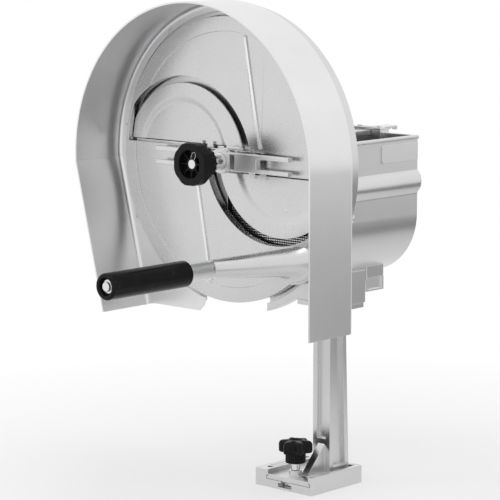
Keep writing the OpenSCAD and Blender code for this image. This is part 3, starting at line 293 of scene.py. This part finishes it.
ROUNDING = {
    "base_bracket": 0.6, "column": 0.5, "t_nut": 0.3, "clamp_stud": 0.3,
    "housing": 0.5, "column_screws": 0.4, "hood": 0.3, "hood_screws": 0.3, "hopper": 1.0,
    "hopper_screws": 0.3, "name_plate": 0.3, "latch_bracket": 0.6, "latch_screws": 0.3,
    "bush_front": 0.3, "bush_rear": 0.3, "main_shaft": 0.2, "shaft_screws": 0.0,
    "shaft_washer": 0.3, "shaft_nut": 0.4, "cutter_disc": 0.5, "knife_upper": 0.0,
    "knife_lower": 0.0, "knife_screws": 0.0, "gauge_plate_upper": 0.5,
    "gauge_plate_lower": 0.5, "gauge_screws": 0.2, "adjusting_arm": 0.6, "hub_sleeve": 0.4,
    "adjusting_knob": 0.5, "knob_retainer": 0.3, "handle_spindle": 0.3, "ferrule": 0.4,
    "grip": 0.8, "grip_screw": 0.4, "pusher_plate": 0.4, "pusher_bar": 0.4,
    "pusher_handle": 0.5, "pusher_keeper": 0.4, "pusher_screws": 0.2, "keeper_screws": 0.3,
}


def add_skins():
    """One rounded copy for each CAD node in the table."""
    for node, round_mm in ROUNDING.items():
        dress(node, BODY_OF[node], round_mm)


def loops_to_mesh(name, loops, cap_start=True, cap_end=True):
    """Closed rings of equal length joined into one skin."""
    bm = bmesh.new()
    rows = [[bm.verts.new(point) for point in loop] for loop in loops]
    count = len(rows[0])
    for low, high in zip(rows, rows[1:]):
        for i in range(count):
            j = (i + 1) % count
            bm.faces.new((low[i], low[j], high[j], high[i]))
    if cap_start:
        bm.faces.new(list(reversed(rows[0])))
    if cap_end:
        bm.faces.new(rows[-1])
    bmesh.ops.recalc_face_normals(bm, faces=bm.faces)
    mesh = bpy.data.meshes.new(name)
    bm.to_mesh(mesh)
    bm.free()
    return mesh


# Star knob
STAR_AXIS = Vector((2.0, -24.0, 0.0))
STAR_LOW = 39.0
STAR_TOP = 53.0
STAR_MEAN = 15.4
STAR_WAVE = 3.1
STAR_LOBES = 6
STAR_TOP_ROUND = 4.5
STAR_LOW_ROUND = 2.5
STAR_DISH = 7.5
STAR_DISH_DEEP = 1.6
STAR_STEPS = 180
NECK_LOW = 28.0
NECK_R = 10.7
NECK_WAVE = 0.3
NECK_RIBS = 28
NECK_BORE = 3.6
NECK_CHAMFER = 0.6


def star_loop(radius_at, height):
    """A closed ring round the star knob's axis at a height."""
    loop = []
    for i in range(STAR_STEPS):
        angle = math.tau * i / STAR_STEPS
        radius = radius_at(angle)
        loop.append(Vector((STAR_AXIS.x + radius * math.cos(angle),
                            STAR_AXIS.y + radius * math.sin(angle), height)) * MM)
    return loop


def star_outline(angle):
    """The star knob's radius at an angle, six soft lobes."""
    wave = math.cos(STAR_LOBES * (angle - math.pi / STAR_LOBES))
    return STAR_MEAN + STAR_WAVE * wave + 0.5 * (wave * wave - 1.0)


def neck_outline(angle):
    """The neck's radius at an angle, finely ribbed."""
    return NECK_R + NECK_WAVE * math.cos(NECK_RIBS * angle)


def add_star_knob():
    """Star knob with six rounded lobes, a shallow dish on top and a ribbed neck."""
    loops = [star_loop(lambda a: NECK_BORE, NECK_LOW),
             star_loop(lambda a: neck_outline(a) - NECK_CHAMFER, NECK_LOW),
             star_loop(neck_outline, NECK_LOW + NECK_CHAMFER),
             star_loop(neck_outline, STAR_LOW - NECK_CHAMFER),
             star_loop(lambda a: NECK_R + 0.4, STAR_LOW)]
    for i in range(6):
        turn = math.pi / 2 * i / 5
        inset = STAR_LOW_ROUND * (1 - math.sin(turn))
        height = STAR_LOW + STAR_LOW_ROUND * (1 - math.cos(turn))
        loops.append(star_loop(lambda a, d=inset: star_outline(a) - d, height))
    for i in range(9):
        turn = math.pi / 2 * i / 8
        inset = STAR_TOP_ROUND * (1 - math.cos(turn))
        height = STAR_TOP - 0.6 - STAR_TOP_ROUND * (1 - math.sin(turn))
        loops.append(star_loop(lambda a, d=inset: star_outline(a) - d, height))
    loops.append(star_loop(lambda a: STAR_DISH + 0.8, STAR_TOP))
    loops.append(star_loop(lambda a: STAR_DISH, STAR_TOP - 0.2))
    loops.append(star_loop(lambda a: STAR_DISH - 1.2, STAR_TOP - STAR_DISH_DEEP))
    loops.append(star_loop(lambda a: 0.4, STAR_TOP - STAR_DISH_DEEP))
    mesh = loops_to_mesh("star_knob", loops, cap_start=False)
    smooth_by_angle(mesh, 50.0)
    new_piece("star_knob", mesh, "clamp", "black", ("clamp_knob",))


# Crank horn
HORN_FOOT = Vector((92.0, -104.06, 6.0))
HORN_HEAD = Vector((20.0, -113.5, 50.0))
HORN_R0 = 15.0
HORN_R1 = 10.0
FACE_W = 4.4
RIM_R = 141.0
RIM_W = 6.0
HORN_STEPS = 96
HORN_ROWS = 14
FILLET_UP = 22.0
FILLET_OUT = 9.0
FILLET_LEAST = 0.3
FILLET_SHARE = 0.6
SKIN_OVER = 0.25
POCKET_AT = (66.5, 13.0)
POCKET_R = 102.0
POCKET_KEEP = 1.5


def face_level(x, y):
    """Height of the disc's front at a place: rim or sunk face."""
    return RIM_W if math.hypot(x, y) > RIM_R else FACE_W


def add_horn_skin():
    """Smooth skin over the crank horn that runs out into the disc's face."""
    along = (HORN_FOOT - HORN_HEAD)
    length = along.length
    along = along / length
    side = along.cross(Vector((0.0, 0.0, 1.0))).normalized()
    up = side.cross(along).normalized()
    taper = (HORN_R0 - HORN_R1) / length
    centre = HORN_HEAD + along * ((HORN_HEAD.z - FACE_W) / -along.z)
    rows = [[] for _ in range(HORN_ROWS * 2 + 1)]
    for i in range(HORN_STEPS):
        angle = math.tau * i / HORN_STEPS
        out = side * math.cos(angle) + up * math.sin(angle)
        start = HORN_HEAD + out * (HORN_R1 + SKIN_OVER)
        slope = (along + out * taper).normalized()
        reach = (start.z - FACE_W) / -slope.z
        hit = start + slope * reach
        away = Vector((hit.x - centre.x, hit.y - centre.y, 0.0)).normalized()
        rise = min(FILLET_UP, reach * FILLET_SHARE)
        bend_from = start + slope * (reach - rise)
        room = math.hypot(hit.x - POCKET_AT[0], hit.y - POCKET_AT[1]) - POCKET_R
        lie = hit + away * max(FILLET_LEAST, min(FILLET_OUT, room - POCKET_KEEP))
        lie.z = face_level(lie.x, lie.y) - SKIN_OVER
        for k in range(HORN_ROWS):
            rows[k].append(start.lerp(bend_from, k / HORN_ROWS))
        for k in range(HORN_ROWS + 1):
            t = k / HORN_ROWS
            point = bend_from.lerp(hit, t).lerp(hit.lerp(lie, t), t)
            rows[HORN_ROWS + k].append(point)
    loops = [[at_axis(p.x, p.y, p.z) for p in row] for row in rows]
    mesh = loops_to_mesh("horn_skin", loops, cap_start=False, cap_end=False)
    smooth_by_angle(mesh, 60.0)
    new_piece("horn_skin", mesh, "disc", "polished")


# Small pieces that the solids leave out
RIDGE_START = Vector((26.0, 136.04))
RIDGE_TURN = math.radians(-79.7)
RIDGE_LONG = 122.04
RIDGE_BASE = 2.4
RIDGE_CREST = 1.6
RIDGE_W = 6.06
RIDGE_ROUND = 0.35
RIDGE_SHARES = (-0.012, 0.0, 0.5, 1.0, 1.012)


def add_ridges():
    """Ridge lines with sloping sides over the disc's two plain quarters, in a near-white copy of the disc's metal
    that paints a highlight along each line.
    """
    ahead = Vector((math.cos(RIDGE_TURN), math.sin(RIDGE_TURN)))
    aside = Vector((-ahead.y, ahead.x))
    for number, sign in (("upper", 1.0), ("lower", -1.0)):
        loops = []
        for t in RIDGE_SHARES:
            middle = RIDGE_START + ahead * RIDGE_LONG * t
            crest = RIDGE_W if 0.0 <= t <= 1.0 else FACE_W - 0.05
            loop = []
            for reach, w in ((-RIDGE_BASE, FACE_W - 0.1), (-RIDGE_CREST, crest),
                             (RIDGE_CREST, crest), (RIDGE_BASE, FACE_W - 0.1)):
                point = middle + aside * reach
                loop.append(at_axis(sign * point.x, sign * point.y, w))
            loops.append(loop)
        mesh = loops_to_mesh("ridge_" + number, loops)
        mesh = baked(mesh, [("BEVEL", {"width": RIDGE_ROUND * MM, "segments": 3, "limit_method": "ANGLE",
                                       "angle_limit": math.radians(25.0)})], "ridge_" + number)
        smooth_by_angle(mesh, 20.0)
        # The ridges wear the near-white metal instead of the disc's own: a painted highlight.
        new_piece("ridge_" + number, mesh, "disc", "polished", finish="painted_highlight_metal")


LIP_IN = 158.3
LIP_OUT = 162.4
LIP_W0 = -6.5
LIP_W1 = -3.4
LIP_STEPS = 240
LIP_START = -44.0
LIP_SWEEP = 276.0
LIP_CHAMFER = 0.4


def add_lip_ring():
    """Thin lip in the housing that narrows the slit around the disc."""
    loops = []
    for i in range(LIP_STEPS + 1):
        angle = math.radians(LIP_START) + math.radians(LIP_SWEEP) * i / LIP_STEPS
        c, d = math.cos(angle), math.sin(angle)
        loops.append([at_axis(r * c, r * d, w) for r, w in (
            (LIP_IN, LIP_W0), (LIP_OUT, LIP_W0), (LIP_OUT, LIP_W1), (LIP_IN + LIP_CHAMFER, LIP_W1),
            (LIP_IN, LIP_W1 - LIP_CHAMFER))])
    mesh = loops_to_mesh("housing_lip", loops)
    smooth_by_angle(mesh, 30.0)
    new_piece("housing_lip", mesh, "stand", "cast")


STUD_FIELD = 200.0
STUD_PITCH = 2.6
STUD_BASE = 0.8
STUD_TOP = 0.6
STUD_HIGH = 0.5
TROUGH_X0, TROUGH_X1 = -12.0, 146.0
TROUGH_LOW, TROUGH_TOP = 125.0, 27.0
NOTCH_X, NOTCH_Z = 33.0, 38.0
TROUGH_R0, TROUGH_R1 = 50.0, 65.0
PUSH_EDGE = 5.0
PUSHER_W = -9.5


def on_pusher(x, y):
    """Whether a stud's place lies on the pusher's face."""
    e = PUSH_EDGE
    if x < TROUGH_X0 + e or x > TROUGH_X1 - e or y < e - TROUGH_LOW or y > TROUGH_TOP - e:
        return False
    if x < NOTCH_X + e and y > -NOTCH_Z - e:
        return False
    for cx, radius, sign in ((TROUGH_X0 + TROUGH_R0, TROUGH_R0, -1), (TROUGH_X1 - TROUGH_R1, TROUGH_R1, 1)):
        cy = radius - TROUGH_LOW
        if (x - cx) * sign > 0 and y < cy and math.hypot(x - cx, y - cy) > radius - e:
            return False
    return True


def add_pusher_studs():
    """Rows of small blunt pyramids that hold the food on the pusher's black face."""
    bm = bmesh.new()
    steps = int(STUD_FIELD / STUD_PITCH)
    for i in range(steps):
        for j in range(steps):
            x = TROUGH_X0 + STUD_PITCH * (i + 0.5)
            y = -TROUGH_LOW + STUD_PITCH * (j + 0.5)
            if not on_pusher(x, y):
                continue
            low = [bm.verts.new(at_axis(x + dx * STUD_BASE, y + dy * STUD_BASE, PUSHER_W - 0.05))
                   for dx, dy in ((-1, -1), (1, -1), (1, 1), (-1, 1))]
            top = [bm.verts.new(at_axis(x + dx * STUD_TOP, y + dy * STUD_TOP, PUSHER_W + STUD_HIGH))
                   for dx, dy in ((-1, -1), (1, -1), (1, 1), (-1, 1))]
            for k in range(4):
                bm.faces.new((low[k], low[(k + 1) % 4], top[(k + 1) % 4], top[k]))
            bm.faces.new(top)
    bmesh.ops.recalc_face_normals(bm, faces=bm.faces)
    mesh = bpy.data.meshes.new("pusher_studs")
    bm.to_mesh(mesh)
    bm.free()
    new_piece("pusher_studs", mesh, "pusher", "steel")


RIVET_R = 1.3
RIVET_HIGH = 0.45
RIVET_STEPS = 20
RIVET_DOME = ((1.0, -0.1), (1.0, 0.45), (0.8, 0.85), (0.4, 1.0))
DISH_W = -3.0
RIVETS = ((-79.0, 50.0), (-28.0, 30.0), (-127.0, 30.0))


def add_rivets():
    """Low domed rivets on the gauge plates' sunk middles."""
    bm = bmesh.new()
    for x, y in RIVETS:
        for sign in (1.0, -1.0):
            rings = []
            for share, high in RIVET_DOME:
                ring = []
                for i in range(RIVET_STEPS):
                    angle = math.tau * i / RIVET_STEPS
                    ring.append(bm.verts.new(at_axis(
                        sign * x + RIVET_R * share * math.cos(angle),
                        sign * y + RIVET_R * share * math.sin(angle), DISH_W + RIVET_HIGH * high)))
                rings.append(ring)
            for low, high in zip(rings, rings[1:]):
                for i in range(RIVET_STEPS):
                    j = (i + 1) % RIVET_STEPS
                    bm.faces.new((low[i], low[j], high[j], high[i]))
            bm.faces.new(rings[-1])
    bmesh.ops.recalc_face_normals(bm, faces=bm.faces)
    mesh = bpy.data.meshes.new("gauge_rivets")
    bm.to_mesh(mesh)
    bm.free()
    smooth_by_angle(mesh, 50.0)
    new_piece("gauge_rivets", mesh, "gauge", "steel")


POINTER_W = 62.2
POINTER_TURN = math.radians(68.0)
POINTER_FROM = 6.0
POINTER_L = 11.3
POINTER_R = 2.7
POINTER_T = 0.8
POINTER_DEEP = 1.5
WIRE_R = 0.3
WIRE_STEPS = 8


def pointer_outline(radius):
    """Rounded slot outline from beside the stud toward the knob's rim."""
    ahead = Vector((math.cos(POINTER_TURN), math.sin(POINTER_TURN)))
    aside = Vector((-ahead.y, ahead.x))
    points = [ahead * POINTER_FROM + aside * radius]
    for i in range(13):
        angle = math.pi / 2 - math.pi * i / 12
        points.append(ahead * (POINTER_L + radius * math.cos(angle)) + aside * radius * math.sin(angle))
    points.append(ahead * POINTER_FROM - aside * radius)
    return points


def add_pointer():
    """The knob's pointer: a black tab in the cup, edged with a thin steel wire whose pale metal paints the
    highlight on its rim.
    """
    outline = pointer_outline(POINTER_R)
    levels = (POINTER_W - POINTER_DEEP, POINTER_W + POINTER_T)
    rows = [[at_axis(p.x, p.y, w) for p in outline] for w in levels]
    mesh = loops_to_mesh("knob_pointer", rows)
    new_piece("knob_pointer", mesh, "knob", "black")
    # A thin pale steel tube along the black tab's rim: a painted highlight on the pointer's edge.
    loops = []
    last = len(outline) - 1
    for k, point in enumerate(outline):
        step = (outline[min(k + 1, last)] - outline[max(k - 1, 0)]).normalized()
        aside = Vector((-step.y, step.x))
        loop = []
        for i in range(WIRE_STEPS):
            angle = math.tau * i / WIRE_STEPS
            shift = aside * WIRE_R * math.cos(angle)
            loop.append(at_axis(point.x + shift.x, point.y + shift.y,
                                POINTER_W + POINTER_T + WIRE_R * math.sin(angle)))
        loops.append(loop)
    highlight_wire = loops_to_mesh("pointer_rim_highlight", loops)
    smooth_by_angle(highlight_wire, 60.0)
    new_piece("pointer_rim_highlight", highlight_wire, "knob", "steel")


# Floor, lamps and world
FLOOR_HALF = 9.0
FLOOR_COLOUR = (0.93, 0.93, 0.93)
SHADOW_NEAR = 0.22
SHADOW_FAR = 0.75
NEAR_WHITE = 0.5
WORLD_FILL = 0.9


def seen_directly(tree):
    """1 for rays from the camera, a gloss or a clear surface, 0 for diffuse light."""
    path = tree.nodes.new("ShaderNodeLightPath")
    value = path.outputs["Is Camera Ray"]
    for other in ("Is Glossy Ray", "Is Transmission Ray"):
        either = tree.nodes.new("ShaderNodeMath")
        either.operation = "MAXIMUM"
        tree.links.new(value, either.inputs[0])
        tree.links.new(path.outputs[other], either.inputs[1])
        value = either.outputs[0]
    return value


def add_floor():
    """Pale paper that keeps the object's shadow near it and runs out to plain white."""
    mesh = bpy.data.meshes.new("floor")
    s = FLOOR_HALF
    mesh.from_pydata([(-s, -s, 0.0), (s, -s, 0.0), (s, s, 0.0), (-s, s, 0.0)], [], [(0, 1, 2, 3)])
    n = Nodes("floor_paper")
    tone = n.noise(n.place(), 3.0)
    n.put(n.shader.inputs["Base Color"], n.blend(tone, FLOOR_COLOUR, shade(FLOOR_COLOUR, 1.02)))
    n.shader.inputs["Roughness"].default_value = 0.8
    n.shader.inputs["Specular IOR Level"].default_value = 0.0
    distance = n.add("ShaderNodeVectorMath", {0: n.place()}, operation="LENGTH").outputs["Value"]
    far = n.spread(distance, NEAR_WHITE, 1.0, SHADOW_NEAR, SHADOW_FAR)
    share = n.add("ShaderNodeMath", {0: far, 1: seen_directly(n.tree)}, operation="MULTIPLY")
    white = n.add("ShaderNodeEmission", {"Color": (1.0, 1.0, 1.0, 1.0), "Strength": 1.0})
    mix = n.add("ShaderNodeMixShader", {0: share.outputs[0], 1: n.shader.outputs["BSDF"],
                                        2: white.outputs[0]})
    n.put(n.output.inputs["Surface"], mix.outputs[0])
    mesh.materials.append(n.material)
    floor = bpy.data.objects.new("floor", mesh)
    bpy.context.scene.collection.objects.link(floor)


def add_lamp(name, place, aim, size, watts):
    """A rectangular lamp turned toward a point."""
    data = bpy.data.lights.new(name, "AREA")
    data.shape = "RECTANGLE"
    data.size, data.size_y = size
    data.energy = watts
    lamp = bpy.data.objects.new(name, data)
    lamp.location = place
    lamp.rotation_euler = (Vector(aim) - Vector(place)).to_track_quat("-Z", "Y").to_euler()
    bpy.context.scene.collection.objects.link(lamp)


def add_card(name, centre, aim, size, grey, soft=0.5):
    """A studio card that only reflections see, with soft edges."""
    mesh = bpy.data.meshes.new(name)
    w, h = size[0] / 2, size[1] / 2
    mesh.from_pydata([(-w, -h, 0.0), (w, -h, 0.0), (w, h, 0.0), (-w, h, 0.0)], [], [(0, 1, 2, 3)])
    n = Nodes(name)
    sides = n.add("ShaderNodeSeparateXYZ", {0: n.place((1.0 / w, 1.0 / h, 1.0))})
    cover = None
    for axis in ("X", "Y"):
        aside = n.add("ShaderNodeMath", {0: sides.outputs[axis]}, operation="ABSOLUTE").outputs[0]
        edge = n.spread(aside, 1.0, 0.0, 1.0 - soft, 1.0)
        cover = edge if cover is None else n.add(
            "ShaderNodeMath", {0: cover, 1: edge}, operation="MULTIPLY").outputs[0]
    glow = n.add("ShaderNodeEmission", {"Color": (1.0, 1.0, 1.0, 1.0), "Strength": grey})
    clear = n.add("ShaderNodeBsdfTransparent")
    mix = n.add("ShaderNodeMixShader", {0: cover, 1: clear.outputs[0], 2: glow.outputs[0]})
    n.put(n.output.inputs["Surface"], mix.outputs[0])
    mesh.materials.append(n.material)
    card = bpy.data.objects.new(name, mesh)
    card.location = centre
    card.rotation_euler = (Vector(aim) - Vector(centre)).to_track_quat("Z", "Y").to_euler()
    card.visible_camera = False
    card.visible_diffuse = False
    card.visible_shadow = False
    card.visible_transmission = False
    card.visible_volume_scatter = False
    bpy.context.scene.collection.objects.link(card)


def add_world():
    """White where it is seen, a softer fill for diffuse light."""
    world = bpy.data.worlds.new("studio")
    bpy.context.scene.world = world
    world.use_nodes = True
    tree = world.node_tree
    tree.nodes.clear()
    out = tree.nodes.new("ShaderNodeOutputWorld")
    fill = tree.nodes.new("ShaderNodeBackground")
    fill.inputs["Strength"].default_value = WORLD_FILL
    white = tree.nodes.new("ShaderNodeBackground")
    white.inputs["Color"].default_value = (1.0, 1.0, 1.0, 1.0)
    mix = tree.nodes.new("ShaderNodeMixShader")
    tree.links.new(seen_directly(tree), mix.inputs[0])
    tree.links.new(fill.outputs[0], mix.inputs[1])
    tree.links.new(white.outputs[0], mix.inputs[2])
    tree.links.new(mix.outputs[0], out.inputs["Surface"])


AIM = (-0.05, 0.0, 0.28)
CARD_AIM = (-0.1, 0.0, 0.35)
# name, place, size, watts
LAMPS = (
    ("key", (-1.6, -2.0, 2.4), (0.8, 1.6), 8.0),
    ("top", (0.2, 0.3, 2.6), (1.4, 0.8), 6.0),
)
# name, centre, point it faces, size, brightness, share of its edge that fades
CARDS = (
    ("card_right_floor", (1.15, 1.25, 0.004), (1.15, 1.25, 1.0), (2.6, 2.6), 0.30, 0.6),
    ("card_front_floor", (-0.25, -0.85, 0.005), (-0.25, -0.85, 1.0), (1.1, 1.1), 0.40, 0.6),
    ("card_band", (0.45, 0.66, 0.006), (0.45, 0.66, 1.0), (0.16, 1.6), 0.02, 0.5),
    ("card_left", (-2.0, -0.75, 0.5), CARD_AIM, (1.0, 1.5), 1.3, 0.4),
    ("card_back", (1.4, 2.2, 1.9), (0.0, 0.0, 0.35), (1.6, 1.0), 1.05, 0.5),
)


def add_studio():
    """Floor, world, lamps and cards."""
    add_floor()
    add_world()
    for name, place, size, watts in LAMPS:
        add_lamp(name, place, AIM, size, watts)
    for card in CARDS:
        add_card(*card)


add_camera()
add_skins()
add_star_knob()
add_horn_skin()
add_pusher_studs()
add_rivets()
add_ridges()
add_lip_ring()
add_pointer()
add_studio()
bpy.context.scene.view_settings.view_transform = "Standard"
